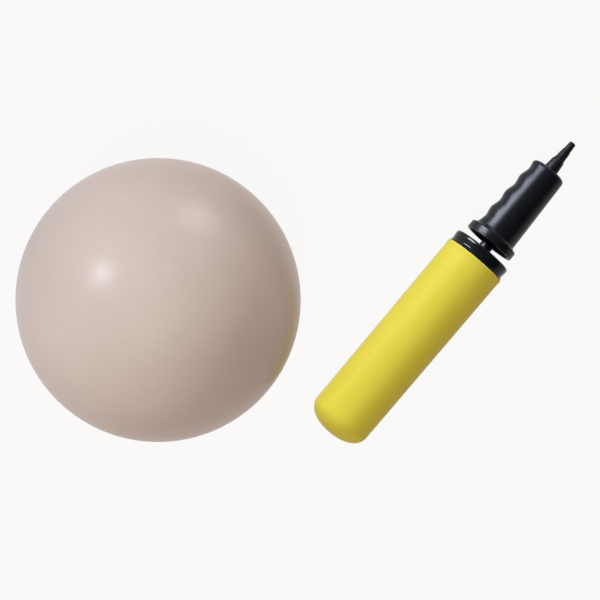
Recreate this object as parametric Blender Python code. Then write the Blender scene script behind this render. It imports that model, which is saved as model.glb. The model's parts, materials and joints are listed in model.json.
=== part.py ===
"""A soft inflatable exercise ball with its plug, and the hand pump that blows it up, lying beside it.

Every size is in millimetres. The ball stands on the origin with +Z up. The pump is drawn upright in its
own frame, its axis along local +Z with zero at the domed end of the barrel, and then laid on the floor.
"""

import math

import bmesh
import bpy
from mathutils import Matrix, Vector

MM = 0.001

# Fits
SEAT_GAP = 0.3
RUNNING_GAP = 0.15

# Ball
BALL_DIAMETER = 230.0
BALL_WALL = 1.0
REST_PATCH_RADIUS = 14.0
VALVE_BEARING = 135.0
VALVE_ELEVATION = -22.0
VALVE_HOLE_RADIUS = 7.0
GROMMET_FLANGE_RADIUS = 11.5
GROMMET_FLANGE_THICKNESS = 1.6
GROMMET_LENGTH = 9.0
PLUG_HEAD_RADIUS = 5.1
PLUG_HEAD_THICKNESS = 1.3
PLUG_STEM_RADIUS = 2.7
PLUG_RIB_HEIGHT = 0.25
PLUG_STEM_LENGTH = 13.0
PLUG_RIB_COUNT = 3

# Where the pump lies
PUMP_STAND_OFF = 66.1
PUMP_BEARING = -39.4
PUMP_HEADING = 49.85

# Barrel
BARREL_LENGTH = 196.0
BARREL_FOOT_RADIUS = 27.9
BARREL_DRAFT = 0.8
BARREL_WALL = 2.3
BARREL_FLOOR = 2.2
DOME_DEPTH = 17.4
DOME_FULLNESS = 2.2
LIP_STEP = 0.3
LIP_HEIGHT = 4.0
LIP_ROUND = 0.8
MOUTH_STEP = 0.9
MOUTH_DEPTH = 11.0

# Cap
CAP_HEIGHT = 11.2
CAP_SETBACK = 1.65
CAP_FLARE = 0.4
CAP_RIM_WIDTH = 2.6
CAP_RIM_ROUND = 1.7
CAP_DISH_DEPTH = 4.0
CAP_WEB = 2.2
CAP_SKIRT_DEPTH = 10.0
CAP_SKIRT_WALL = 2.0
CAP_TUBE_WALL = 2.0
CAP_TUBE_DEPTH = 14.0
CAP_BOSS_RISE = 1.4
VENT_COUNT = 4
VENT_RADIUS = 1.8

# Guide bush
BUSH_WALL = 2.6
BUSH_FLANGE_WIDTH = 2.0
BUSH_FLANGE_THICKNESS = 1.3
BUSH_LIP_WIDTH = 0.9
BUSH_LIP_HEIGHT = 1.7

# Rod and piston
ROD_RADIUS = 6.0
ROD_BORE_RADIUS = 4.0
PISTON_CLEARANCE = 0.7
PISTON_LOWER_FLANGE = 3.0
PISTON_UPPER_FLANGE = 3.5
PISTON_END_CLEARANCE = 4.0
PISTON_HUB_RADIUS = 9.5
PISTON_SOCKET_DEPTH = 12.0
PISTON_NOTCH_COUNT = 6
PISTON_NOTCH_WIDTH = 4.0
PISTON_NOTCH_DEPTH = 2.2
RING_THICKNESS = 4.0
RING_FLOAT = 0.9
BUFFER_THICKNESS = 3.0
BUFFER_WIDTH = 4.5

# Outlet valve in the middle of the piston
OUTLET_PORT_RADIUS = 2.5
OUTLET_SEAT_DEPTH = 2.5
OUTLET_CHAMBER_RADIUS = 5.6
OUTLET_DISC_RADIUS = 4.8
OUTLET_DISC_THICKNESS = 2.0
SPRING_WIRE = 0.6
SPRING_RADIUS = 4.4
SPRING_LENGTH = 7.2
SPRING_TURNS = 4

# Handle
REST_GAP = 7.6
HANDLE_LENGTH = 83.2
HANDLE_WALL = 2.6
HANDLE_TOP_WALL = 4.0
HANDLE_TOP_ROUND = 3.2
HANDLE_TOP_CROWN = 1.2
FLANGE_RADIUS = 23.6
FLANGE_HEIGHT = 7.6
FLANGE_ROUND = 0.9
NECK_FILLET = 3.6
GRIP_BASE_RADIUS = 19.2
GRIP_TOP_RADIUS = 15.9
FINGER_COUNT = 4
FINGER_PITCH = 18.6
FIRST_FINGER = 16.9
FINGER_RIDGE = 1.6
FINGER_SINK = 0.9
FINGER_REACH = 62.0
SOCKET_WALL = 2.4
SOCKET_DEPTH = 44.0
RIB_COUNT = 4
RIB_THICKNESS = 1.8
RIB_SETBACK = 12.0

# Nozzle
SPIGOT_RADIUS = 4.3
SPIGOT_LENGTH = 7.5
AIR_PASSAGE_RADIUS = 2.2
NOZZLE_BASE_RADIUS = 6.65
NOZZLE_SHOULDER_RADIUS = 5.6
NOZZLE_SHOULDER_HEIGHT = 10.0
NOZZLE_SHOULDER_SLOPE = 2.4
NOZZLE_NECK_RADIUS = 4.6
NOZZLE_NECK_TAPER = 0.6
NOZZLE_STEP_SLOPE = 1.8
NOZZLE_TIP_LENGTH = 8.2
NOZZLE_TIP_FOOT_RADIUS = 3.45
NOZZLE_TIP_RADIUS = 2.9
NOZZLE_TIP_ROUND = 1.2
NOZZLE_BORE_RADIUS = 1.5
NOZZLE_RING_COUNT = 3
NOZZLE_RING_PITCH = 2.7
NOZZLE_GROOVE_WIDTH = 0.8
NOZZLE_GROOVE_DEPTH = 0.35
SEAL_THICKNESS = 1.4
SEAL_WALL = 0.6

# Facets round a full turn
BALL_FACETS = 40
BODY_FACETS = 40
SMALL_FACETS = 24
FINE_FACETS = 18

# Places along the pump's axis that several pieces share
CAP_TOP = BARREL_LENGTH + CAP_HEIGHT
HANDLE_FOOT = CAP_TOP + REST_GAP
HANDLE_TOP = HANDLE_FOOT + HANDLE_LENGTH
SOCKET_TOP = HANDLE_TOP - HANDLE_TOP_WALL
ROD_TOP = SOCKET_TOP - SEAT_GAP
PISTON_FOOT = DOME_DEPTH + PISTON_END_CLEARANCE + REST_GAP
GROOVE_FOOT = PISTON_FOOT + PISTON_LOWER_FLANGE
GROOVE_WIDTH = RING_THICKNESS + RING_FLOAT + 2 * SEAT_GAP
PISTON_DECK = GROOVE_FOOT + GROOVE_WIDTH + PISTON_UPPER_FLANGE
OUTLET_SEAT = PISTON_FOOT + OUTLET_SEAT_DEPTH
DISC_TOP = OUTLET_SEAT + SEAT_GAP + OUTLET_DISC_THICKNESS
ROD_FOOT = DISC_TOP + SPRING_LENGTH + 2 * SEAT_GAP
SOCKET_SHOULDER = ROD_FOOT - SEAT_GAP
HUB_TOP = SOCKET_SHOULDER + PISTON_SOCKET_DEPTH

# Radii that mating pieces share
BARREL_TOP_RADIUS = BARREL_FOOT_RADIUS + BARREL_DRAFT
BARREL_BORE_RADIUS = BARREL_FOOT_RADIUS - BARREL_WALL
LIP_RADIUS = BARREL_TOP_RADIUS + LIP_STEP
MOUTH_RADIUS = BARREL_BORE_RADIUS + MOUTH_STEP
CAP_BASE_RADIUS = LIP_RADIUS - CAP_SETBACK
CAP_RIM_RADIUS = CAP_BASE_RADIUS + CAP_FLARE
PISTON_RADIUS = BARREL_BORE_RADIUS - PISTON_CLEARANCE
ROD_SOCKET_RADIUS = ROD_RADIUS + SEAT_GAP
BUSH_BORE_RADIUS = ROD_RADIUS + RUNNING_GAP
BUSH_RADIUS = BUSH_BORE_RADIUS + BUSH_WALL
CAP_TUBE_RADIUS = BUSH_RADIUS + SEAT_GAP
BUSH_FLANGE_RADIUS = BUSH_RADIUS + BUSH_FLANGE_WIDTH
SEAL_RADIUS = NOZZLE_BASE_RADIUS - SEAL_WALL - SEAT_GAP
PLUG_BORE_RADIUS = PLUG_STEM_RADIUS + PLUG_RIB_HEIGHT + RUNNING_GAP


def clear_scene():
    for old in list(bpy.data.objects):
        bpy.data.objects.remove(old, do_unlink=True)


def plastic(name, colour, roughness):
    """A plain moulded plastic or rubber."""
    material = bpy.data.materials.new(name)
    material.use_nodes = True
    shader = material.node_tree.nodes["Principled BSDF"]
    shader.inputs["Base Color"].default_value = (*colour, 1.0)
    shader.inputs["Roughness"].default_value = roughness
    shader.inputs["Metallic"].default_value = 0.0
    material.diffuse_color = (*colour, 1.0)
    return material


def arc(centre, radius, start, end, steps):
    """Points (r, z) on a round stretch of a profile, angles in degrees from the +r direction."""
    spread = [math.radians(start + (end - start) * i / steps) for i in range(steps + 1)]
    return [(centre[0] + radius * math.cos(a), centre[1] + radius * math.sin(a)) for a in spread]


def dome(radius, depth, foot, steps):
    """A squared-off half ellipse from the axis at foot out to the full radius, depth higher."""
    power = 2 / DOME_FULLNESS
    turns = [math.pi / 2 * i / steps for i in range(steps + 1)]
    curve = [(radius * math.sin(t) ** power, foot + depth * (1 - math.cos(t) ** power)) for t in turns[:-1]]
    return curve + [(radius, foot + depth)]


def spun_mesh(profile, facets):
    """A profile of (r, z) points turned a full circle about Z. It closes on itself unless it ends on the axis."""
    mesh = bmesh.new()
    points = [mesh.verts.new((r * MM, 0.0, z * MM)) for r, z in profile]
    edges = [mesh.edges.new(pair) for pair in zip(points, points[1:])]
    if profile[0][0] > 0 or profile[-1][0] > 0:
        edges.append(mesh.edges.new((points[-1], points[0])))
    bmesh.ops.spin(
        mesh,
        geom=points + edges,
        cent=(0, 0, 0),
        axis=(0, 0, 1),
        angle=2 * math.pi,
        steps=facets,
        use_merge=True,
    )
    bmesh.ops.remove_doubles(mesh, verts=mesh.verts[:], dist=1e-6)
    bmesh.ops.dissolve_degenerate(mesh, edges=mesh.edges[:], dist=1e-6)
    bmesh.ops.recalc_face_normals(mesh, faces=mesh.faces[:])
    return mesh


def placed(name, mesh, parent, material):
    """The object that holds a finished mesh, in its parent's frame."""
    data = bpy.data.meshes.new(name)
    mesh.to_mesh(data)
    mesh.free()
    data.shade_smooth()
    data.set_sharp_from_angle(angle=math.radians(35))
    data.materials.append(material)
    made = bpy.data.objects.new(name, data)
    bpy.context.scene.collection.objects.link(made)
    made.parent = parent
    return made


def turned(name, profile, parent, material, facets=BODY_FACETS):
    return placed(name, spun_mesh(profile, facets), parent, material)


def helper(name, mesh, parent, material):
    """A shape that only cuts or joins another, and isn't a piece by itself."""
    made = placed(name, mesh, parent, material)
    made.hide_render = True
    made.display_type = "WIRE"
    return made


def combine(piece, other, operation):
    modifier = piece.modifiers.new(other.name, "BOOLEAN")
    modifier.operation = operation
    modifier.object = other
    modifier.solver = "EXACT"


def frame(name, matrix):
    """An empty that carries the pieces of one assembly."""
    made = bpy.data.objects.new(name, None)
    bpy.context.scene.collection.objects.link(made)
    made.matrix_world = matrix
    return made


def ball_frame():
    """The ball's centre, with local +Z out through its valve."""
    radius = BALL_DIAMETER / 2
    height = math.sqrt(radius**2 - REST_PATCH_RADIUS**2)
    bearing, lift = math.radians(VALVE_BEARING), math.radians(VALVE_ELEVATION)
    out = Vector((math.cos(lift) * math.cos(bearing), math.cos(lift) * math.sin(bearing), math.sin(lift)))
    side = Vector((-math.sin(bearing), math.cos(bearing), 0.0))
    turn = Matrix((side, out.cross(side), out)).transposed().to_4x4()
    return Matrix.Translation((0, 0, height * MM)) @ turn


def pump_frame():
    """The barrel's domed end, with local +Z along the pump. It lies on its lip and on the foot of its side."""
    tilt = math.atan2(LIP_RADIUS - BARREL_FOOT_RADIUS, BARREL_LENGTH - LIP_HEIGHT - DOME_DEPTH)
    heading, bearing = math.radians(PUMP_HEADING), math.radians(PUMP_BEARING)
    along = Vector((math.cos(tilt) * math.cos(heading), math.cos(tilt) * math.sin(heading), math.sin(tilt)))
    side = Vector((math.sin(heading), -math.cos(heading), 0.0))
    turn = Matrix((side, along.cross(side), along)).transposed().to_4x4()
    reach = BALL_DIAMETER / 2 + PUMP_STAND_OFF
    height = BARREL_FOOT_RADIUS * math.cos(tilt) - DOME_DEPTH * math.sin(tilt)
    place = Vector((reach * math.cos(bearing), reach * math.sin(bearing), height))
    return Matrix.Translation(place * MM) @ turn


def skin_height(radius, at):
    """How far along the valve's axis a sphere of this radius lies, this far out from the axis."""
    return math.sqrt(radius**2 - at**2)


def flatten_rest_patch(mesh, matrix):
    """Presses the skin flat where the ball's weight rests on the floor, the inner face with the outer one."""
    inverse = matrix.inverted()
    up = inverse.to_3x3() @ Vector((0, 0, 1))
    inside = BALL_DIAMETER / 2 - BALL_WALL / 2
    for level in (0.0, BALL_WALL):
        geometry = mesh.verts[:] + mesh.edges[:] + mesh.faces[:]
        bmesh.ops.bisect_plane(
            mesh, geom=geometry, dist=1e-6, plane_co=inverse @ Vector((0, 0, level * MM)), plane_no=up
        )
    for point in mesh.verts:
        floor = BALL_WALL if point.co.length < inside * MM else 0.0
        depth = floor * MM - (matrix @ point.co).z
        if depth > 0:
            point.co += up * depth


def ball_skin(parent, material):
    """The blown PVC skin, with the hole that its valve sits in."""
    outer = BALL_DIAMETER / 2
    inner = outer - BALL_WALL
    rows = BALL_FACETS // 2
    start = math.degrees(math.asin(VALVE_HOLE_RADIUS / outer))
    inner_start = math.degrees(math.asin(VALVE_HOLE_RADIUS / inner))
    outside = arc((0, 0), outer, 90 - start, -90, rows)
    within = arc((0, 0), inner, -90, 90 - inner_start, rows)
    outside[-1], within[0] = (0.0, -outer), (0.0, -inner)
    mesh = spun_mesh(within + outside, BALL_FACETS)
    flatten_rest_patch(mesh, parent.matrix_world)
    return placed("ball_skin", mesh, parent, material)


def valve_grommet(parent, material):
    """The thick moulded bush in the skin, with a wide flange behind it and a seat for the plug's head."""
    body = VALVE_HOLE_RADIUS - SEAT_GAP
    face = skin_height(BALL_DIAMETER / 2, VALVE_HOLE_RADIUS)
    back = skin_height(BALL_DIAMETER / 2 - BALL_WALL, GROMMET_FLANGE_RADIUS) - SEAT_GAP
    seat_radius = PLUG_HEAD_RADIUS + SEAT_GAP
    seat = face - PLUG_HEAD_THICKNESS - SEAT_GAP
    profile = [
        (PLUG_BORE_RADIUS, face - GROMMET_LENGTH),
        (body, face - GROMMET_LENGTH),
        (body, back - GROMMET_FLANGE_THICKNESS),
        (GROMMET_FLANGE_RADIUS, back - GROMMET_FLANGE_THICKNESS),
        (GROMMET_FLANGE_RADIUS, back),
        (body, back),
        (body, face),
        (seat_radius, face),
        (seat_radius, seat),
        (PLUG_BORE_RADIUS, seat),
    ]
    return turned("valve_grommet", profile, parent, material, SMALL_FACETS)


def valve_plug(parent, material):
    """The stopper: a flush head and a ribbed stem that narrows to a blunt end."""
    face = skin_height(BALL_DIAMETER / 2, VALVE_HOLE_RADIUS)
    under_head = face - PLUG_HEAD_THICKNESS
    stem_end = under_head - PLUG_STEM_LENGTH
    pitch = PLUG_STEM_LENGTH / (PLUG_RIB_COUNT + 1)
    profile = [(0.0, stem_end), (PLUG_STEM_RADIUS * 0.6, stem_end)]
    for i in range(1, PLUG_RIB_COUNT + 1):
        foot = stem_end + pitch * i
        profile += [
            (PLUG_STEM_RADIUS, foot - pitch / 3),
            (PLUG_STEM_RADIUS + PLUG_RIB_HEIGHT, foot),
            (PLUG_STEM_RADIUS, foot + pitch / 3),
        ]
    profile += [
        (PLUG_STEM_RADIUS, under_head),
        (PLUG_HEAD_RADIUS, under_head),
        (PLUG_HEAD_RADIUS, face - PLUG_HEAD_THICKNESS / 3),
        (PLUG_HEAD_RADIUS - PLUG_HEAD_THICKNESS / 2, face),
        (0.0, face),
    ]
    return turned("valve_plug", profile, parent, material, FINE_FACETS)


def barrel(parent, material):
    """The tube that the piston runs in: closed by a dome, drafted outside, with a lip round its mouth."""
    lip_foot = BARREL_LENGTH - LIP_HEIGHT
    mouth_foot = BARREL_LENGTH - MOUTH_DEPTH
    outside = dome(BARREL_FOOT_RADIUS, DOME_DEPTH, 0.0, 8)
    outside += [
        (BARREL_TOP_RADIUS, lip_foot - LIP_STEP),
        (LIP_RADIUS, lip_foot),
        (LIP_RADIUS, BARREL_LENGTH - LIP_ROUND),
        (LIP_RADIUS - LIP_ROUND * 0.3, BARREL_LENGTH - LIP_ROUND * 0.3),
        (LIP_RADIUS - LIP_ROUND, BARREL_LENGTH),
    ]
    inside = dome(BARREL_BORE_RADIUS, DOME_DEPTH - BARREL_FLOOR, BARREL_FLOOR, 6)
    inside += [
        (BARREL_BORE_RADIUS, mouth_foot),
        (MOUTH_RADIUS, mouth_foot),
        (MOUTH_RADIUS, BARREL_LENGTH),
    ]
    return turned("barrel", outside + inside[::-1], parent, material)


def barrel_cap(parent, material):
    """The cap plugged into the barrel's mouth: a flared collar, a dished top with vents and a tube for the bush."""
    skirt = MOUTH_RADIUS - SEAT_GAP
    seat = BARREL_LENGTH + SEAT_GAP
    dish = CAP_TOP - CAP_DISH_DEPTH
    boss = dish + CAP_BOSS_RISE
    web = dish - CAP_WEB
    tube = CAP_TUBE_RADIUS + CAP_TUBE_WALL
    counterbore = BUSH_FLANGE_RADIUS + SEAT_GAP
    ledge = boss - BUSH_FLANGE_THICKNESS - SEAT_GAP
    boss_radius = counterbore + CAP_TUBE_WALL / 2
    rim_inside = CAP_RIM_RADIUS - CAP_RIM_WIDTH
    tube_foot = BARREL_LENGTH - CAP_TUBE_DEPTH
    vent_circle = (boss_radius + CAP_BOSS_RISE + rim_inside - CAP_RIM_ROUND) / 2
    collar = [
        (CAP_BASE_RADIUS, seat),
        (CAP_BASE_RADIUS, seat + CAP_HEIGHT * 0.25),
        (CAP_RIM_RADIUS, CAP_TOP - CAP_RIM_ROUND * 1.5),
    ]
    collar += arc((CAP_RIM_RADIUS - CAP_RIM_ROUND, CAP_TOP - CAP_RIM_ROUND), CAP_RIM_ROUND, 0, 90, 3)
    profile = [(skirt, BARREL_LENGTH - CAP_SKIRT_DEPTH), (skirt, seat)] + collar
    profile += [
        (rim_inside, CAP_TOP),
        (rim_inside - CAP_RIM_ROUND, dish),
        (boss_radius + CAP_BOSS_RISE, dish),
        (boss_radius, boss),
        (counterbore, boss),
        (counterbore, ledge),
        (CAP_TUBE_RADIUS, ledge),
        (CAP_TUBE_RADIUS, tube_foot),
        (tube, tube_foot),
        (tube, web),
        (skirt - CAP_SKIRT_WALL, web),
        (skirt - CAP_SKIRT_WALL, BARREL_LENGTH - CAP_SKIRT_DEPTH),
    ]
    piece = turned("barrel_cap", profile, parent, material)
    vents = bmesh.new()
    for i in range(VENT_COUNT):
        turn = Matrix.Rotation(math.radians(360 * (i + 0.5) / VENT_COUNT), 4, "Z")
        shift = Matrix.Translation((vent_circle * MM, 0, dish * MM))
        bmesh.ops.create_cone(
            vents,
            cap_ends=True,
            segments=12,
            radius1=VENT_RADIUS * MM,
            radius2=VENT_RADIUS * MM,
            depth=CAP_WEB * 4 * MM,
            matrix=turn @ shift,
        )
    combine(piece, helper("vent_cutter", vents, parent, material), "DIFFERENCE")
    return piece


def guide_bush(parent, material):
    """The bush that the rod slides in. Its flange and its lower lip hold it in the cap, free to turn."""
    boss = CAP_TOP - CAP_DISH_DEPTH + CAP_BOSS_RISE
    under_flange = boss - BUSH_FLANGE_THICKNESS
    lip = BARREL_LENGTH - CAP_TUBE_DEPTH - SEAT_GAP
    foot = lip - BUSH_LIP_HEIGHT
    profile = [
        (BUSH_BORE_RADIUS, foot),
        (BUSH_RADIUS - BUSH_LIP_WIDTH / 2, foot),
        (BUSH_RADIUS + BUSH_LIP_WIDTH, lip - BUSH_LIP_HEIGHT / 3),
        (BUSH_RADIUS + BUSH_LIP_WIDTH, lip),
        (BUSH_RADIUS, lip),
        (BUSH_RADIUS, under_flange),
        (BUSH_FLANGE_RADIUS, under_flange),
        (BUSH_FLANGE_RADIUS, boss),
        (BUSH_BORE_RADIUS, boss),
    ]
    return turned("guide_bush", profile, parent, material, SMALL_FACETS)


def piston_rod(parent, material):
    """The hollow rod that carries the air up to the handle."""
    profile = [
        (ROD_BORE_RADIUS, ROD_FOOT),
        (ROD_RADIUS, ROD_FOOT),
        (ROD_RADIUS, ROD_TOP),
        (ROD_BORE_RADIUS, ROD_TOP),
    ]
    return turned("piston_rod", profile, parent, material, SMALL_FACETS)


def piston(parent, material):
    """The piston moulding: two flanges with the ring's groove between them, a socket for the rod, and the
    outlet valve's chamber. Notches in the lower flange let air past the ring on the pull stroke."""
    groove_floor = BARREL_BORE_RADIUS - RING_THICKNESS - 2 * SEAT_GAP
    profile = [
        (OUTLET_PORT_RADIUS, PISTON_FOOT),
        (PISTON_RADIUS, PISTON_FOOT),
        (PISTON_RADIUS, GROOVE_FOOT),
        (groove_floor, GROOVE_FOOT),
        (groove_floor, GROOVE_FOOT + GROOVE_WIDTH),
        (PISTON_RADIUS, GROOVE_FOOT + GROOVE_WIDTH),
        (PISTON_RADIUS, PISTON_DECK),
        (PISTON_HUB_RADIUS, PISTON_DECK),
        (PISTON_HUB_RADIUS, HUB_TOP),
        (ROD_SOCKET_RADIUS, HUB_TOP),
        (ROD_SOCKET_RADIUS, SOCKET_SHOULDER),
        (OUTLET_CHAMBER_RADIUS, SOCKET_SHOULDER),
        (OUTLET_CHAMBER_RADIUS, OUTLET_SEAT),
        (OUTLET_PORT_RADIUS, OUTLET_SEAT),
    ]
    piece = turned("piston", profile, parent, material)
    notches = bmesh.new()
    size = Matrix.Diagonal((2 * PISTON_NOTCH_DEPTH * MM, PISTON_NOTCH_WIDTH * MM, 2 * PISTON_LOWER_FLANGE * MM, 1))
    for i in range(PISTON_NOTCH_COUNT):
        turn = Matrix.Rotation(math.radians(360 * i / PISTON_NOTCH_COUNT), 4, "Z")
        shift = Matrix.Translation((PISTON_RADIUS * MM, 0, (GROOVE_FOOT - PISTON_LOWER_FLANGE / 2) * MM))
        bmesh.ops.create_cube(notches, size=1.0, matrix=turn @ shift @ size)
    combine(piece, helper("notch_cutter", notches, parent, material), "DIFFERENCE")
    return piece


def piston_ring(parent, material):
    """The rubber ring that floats in the groove: it seals on the push stroke and lets air in on the pull."""
    middle = BARREL_BORE_RADIUS - SEAT_GAP - RING_THICKNESS / 2
    height = GROOVE_FOOT + SEAT_GAP + RING_THICKNESS / 2
    return turned("piston_ring", arc((middle, height), RING_THICKNESS / 2, 0, 315, 7), parent, material)


def buffer_ring(parent, material):
    """The soft ring on the rod that meets the cap's tube at the end of the pull."""
    foot = HUB_TOP + SEAT_GAP
    inner = ROD_RADIUS + SEAT_GAP
    profile = [
        (inner, foot),
        (inner + BUFFER_WIDTH, foot),
        (inner + BUFFER_WIDTH, foot + BUFFER_THICKNESS * 0.7),
        (inner + BUFFER_WIDTH * 0.8, foot + BUFFER_THICKNESS),
        (inner, foot + BUFFER_THICKNESS),
    ]
    return turned("buffer_ring", profile, parent, material, SMALL_FACETS)


def outlet_disc(parent, material):
    """The valve disc that keeps the blown air from coming back."""
    foot = OUTLET_SEAT + SEAT_GAP
    profile = [
        (0.0, foot),
        (OUTLET_DISC_RADIUS, foot),
        (OUTLET_DISC_RADIUS, foot + OUTLET_DISC_THICKNESS),
        (0.0, foot + OUTLET_DISC_THICKNESS),
    ]
    return turned("outlet_disc", profile, parent, material, FINE_FACETS)


def outlet_spring(parent, material):
    """The light wire spring between the disc and the rod's end."""
    steps = 10
    rise = SPRING_LENGTH - SPRING_WIRE
    foot = DISC_TOP + SEAT_GAP + SPRING_WIRE / 2
    curve = bpy.data.curves.new("outlet_spring", "CURVE")
    curve.dimensions = "3D"
    curve.bevel_depth = SPRING_WIRE / 2 * MM
    curve.bevel_resolution = 1
    curve.use_fill_caps = True
    line = curve.splines.new("POLY")
    line.points.add(SPRING_TURNS * steps)
    for i, point in enumerate(line.points):
        angle = 2 * math.pi * i / steps
        height = foot + rise * i / (SPRING_TURNS * steps)
        place = (SPRING_RADIUS * math.cos(angle), SPRING_RADIUS * math.sin(angle), height)
        point.co = (*(x * MM for x in place), 1.0)
    curve.materials.append(material)
    made = bpy.data.objects.new("outlet_spring", curve)
    bpy.context.scene.collection.objects.link(made)
    made.parent = parent
    print("outlet_spring: least gap between turns, mm:", round(rise / SPRING_TURNS - SPRING_WIRE, 2))
    return made


def grip_radius(height):
    """The plain grip's radius, this far above the handle's foot."""
    share = (height - FLANGE_HEIGHT) / (HANDLE_LENGTH - FLANGE_HEIGHT)
    return GRIP_BASE_RADIUS + (GRIP_TOP_RADIUS - GRIP_BASE_RADIUS) * share


def finger_wave(angle, height):
    """How far the surface stands out on ridges, or in on grooves, at this angle from the finger side."""
    spread = angle / math.radians(FINGER_REACH)
    if abs(spread) >= 1:
        return 0.0
    wave = 0.5 - 0.5 * math.cos(2 * math.pi * (height - FIRST_FINGER) / FINGER_PITCH)
    return (FINGER_RIDGE * wave - FINGER_SINK) * math.cos(spread * math.pi / 2) ** 2


def shape_fingers(mesh):
    """Shapes the grip's outer face for the fingers, on the side that faces local -X."""
    lowest = FLANGE_HEIGHT + SEAT_GAP / 10
    edge = GRIP_TOP_RADIUS - HANDLE_TOP_ROUND
    for point in mesh.verts:
        height = point.co.z / MM - HANDLE_FOOT
        radius = math.hypot(point.co.x, point.co.y) / MM
        outside = radius > grip_radius(height) - HANDLE_WALL / 2 or height > HANDLE_LENGTH - HANDLE_TOP_ROUND
        if height > lowest and outside and radius > edge:
            fade = min(1.0, (radius - edge) / HANDLE_TOP_ROUND)
            rise = fade * finger_wave(math.atan2(point.co.y, -point.co.x), height)
            point.co.x *= 1 + rise / radius
            point.co.y *= 1 + rise / radius


def handle_outline():
    """The handle's outer profile from the foot of the flange up to the spigot, heights above the foot."""
    shoulder = FLANGE_HEIGHT + NECK_FILLET
    crown = HANDLE_LENGTH - HANDLE_TOP_CROWN
    neck = grip_radius(shoulder)
    outline = [(FLANGE_RADIUS, 0.0)]
    outline += arc((FLANGE_RADIUS - FLANGE_ROUND, FLANGE_HEIGHT - FLANGE_ROUND), FLANGE_ROUND, 0, 90, 2)
    outline += arc((neck + NECK_FILLET, shoulder), NECK_FILLET, 255, 180, 3)
    steps = FINGER_COUNT * 5
    top = crown - HANDLE_TOP_ROUND
    for i in range(1, steps + 1):
        height = shoulder + (top - shoulder) * i / steps
        outline.append((grip_radius(height), height))
    outline += arc((grip_radius(top) - HANDLE_TOP_ROUND, top), HANDLE_TOP_ROUND, 22, 90, 3)
    outline.append((SPIGOT_RADIUS, HANDLE_LENGTH))
    return outline


def handle_grip(parent, material):
    """The hollow moulded handle: flange, grip with finger ridges, spigot for the nozzle, and inside it the
    rod's socket held by thin ribs."""
    socket = ROD_SOCKET_RADIUS + SOCKET_WALL
    ceiling = SOCKET_TOP
    socket_foot = ceiling - SOCKET_DEPTH
    skirt = FLANGE_RADIUS - HANDLE_WALL
    shoulder = HANDLE_FOOT + FLANGE_HEIGHT - HANDLE_WALL
    throat = grip_radius(FLANGE_HEIGHT) - HANDLE_WALL
    profile = [(r, HANDLE_FOOT + z) for r, z in handle_outline()]
    profile += [
        (SPIGOT_RADIUS, HANDLE_TOP + SPIGOT_LENGTH),
        (AIR_PASSAGE_RADIUS, HANDLE_TOP + SPIGOT_LENGTH),
        (AIR_PASSAGE_RADIUS, ceiling),
        (ROD_SOCKET_RADIUS, ceiling),
        (ROD_SOCKET_RADIUS, socket_foot),
        (socket, socket_foot),
        (socket, ceiling),
        (grip_radius(HANDLE_LENGTH) - HANDLE_WALL, ceiling),
        (throat, shoulder),
        (skirt, shoulder),
        (skirt, HANDLE_FOOT),
    ]
    mesh = spun_mesh(profile, BODY_FACETS)
    shape_fingers(mesh)
    piece = placed("handle_grip", mesh, parent, material)
    ribs = bmesh.new()
    rib_foot = socket_foot + RIB_SETBACK
    rib_top = ceiling + HANDLE_TOP_WALL / 2
    inner, outer = socket - SOCKET_WALL / 2, grip_radius(HANDLE_LENGTH) - HANDLE_WALL / 2
    size = Matrix.Diagonal(((outer - inner) * MM, RIB_THICKNESS * MM, (rib_top - rib_foot) * MM, 1))
    for i in range(RIB_COUNT):
        turn = Matrix.Rotation(math.radians(360 * (i + 0.5) / RIB_COUNT), 4, "Z")
        shift = Matrix.Translation(((inner + outer) / 2 * MM, 0, (rib_foot + rib_top) / 2 * MM))
        bmesh.ops.create_cube(ribs, size=1.0, matrix=turn @ shift @ size)
    combine(piece, helper("handle_ribs", ribs, parent, material), "UNION")
    return piece


def nozzle_seal(parent, material):
    """The flat rubber washer on the spigot, inside the nozzle's foot."""
    foot = HANDLE_TOP + SEAT_GAP
    inner = SPIGOT_RADIUS + SEAT_GAP
    top = foot + SEAL_THICKNESS
    profile = [(inner, foot), (SEAL_RADIUS, foot), (SEAL_RADIUS, top), (inner, top)]
    return turned("nozzle_seal", profile, parent, material, FINE_FACETS)


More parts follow.
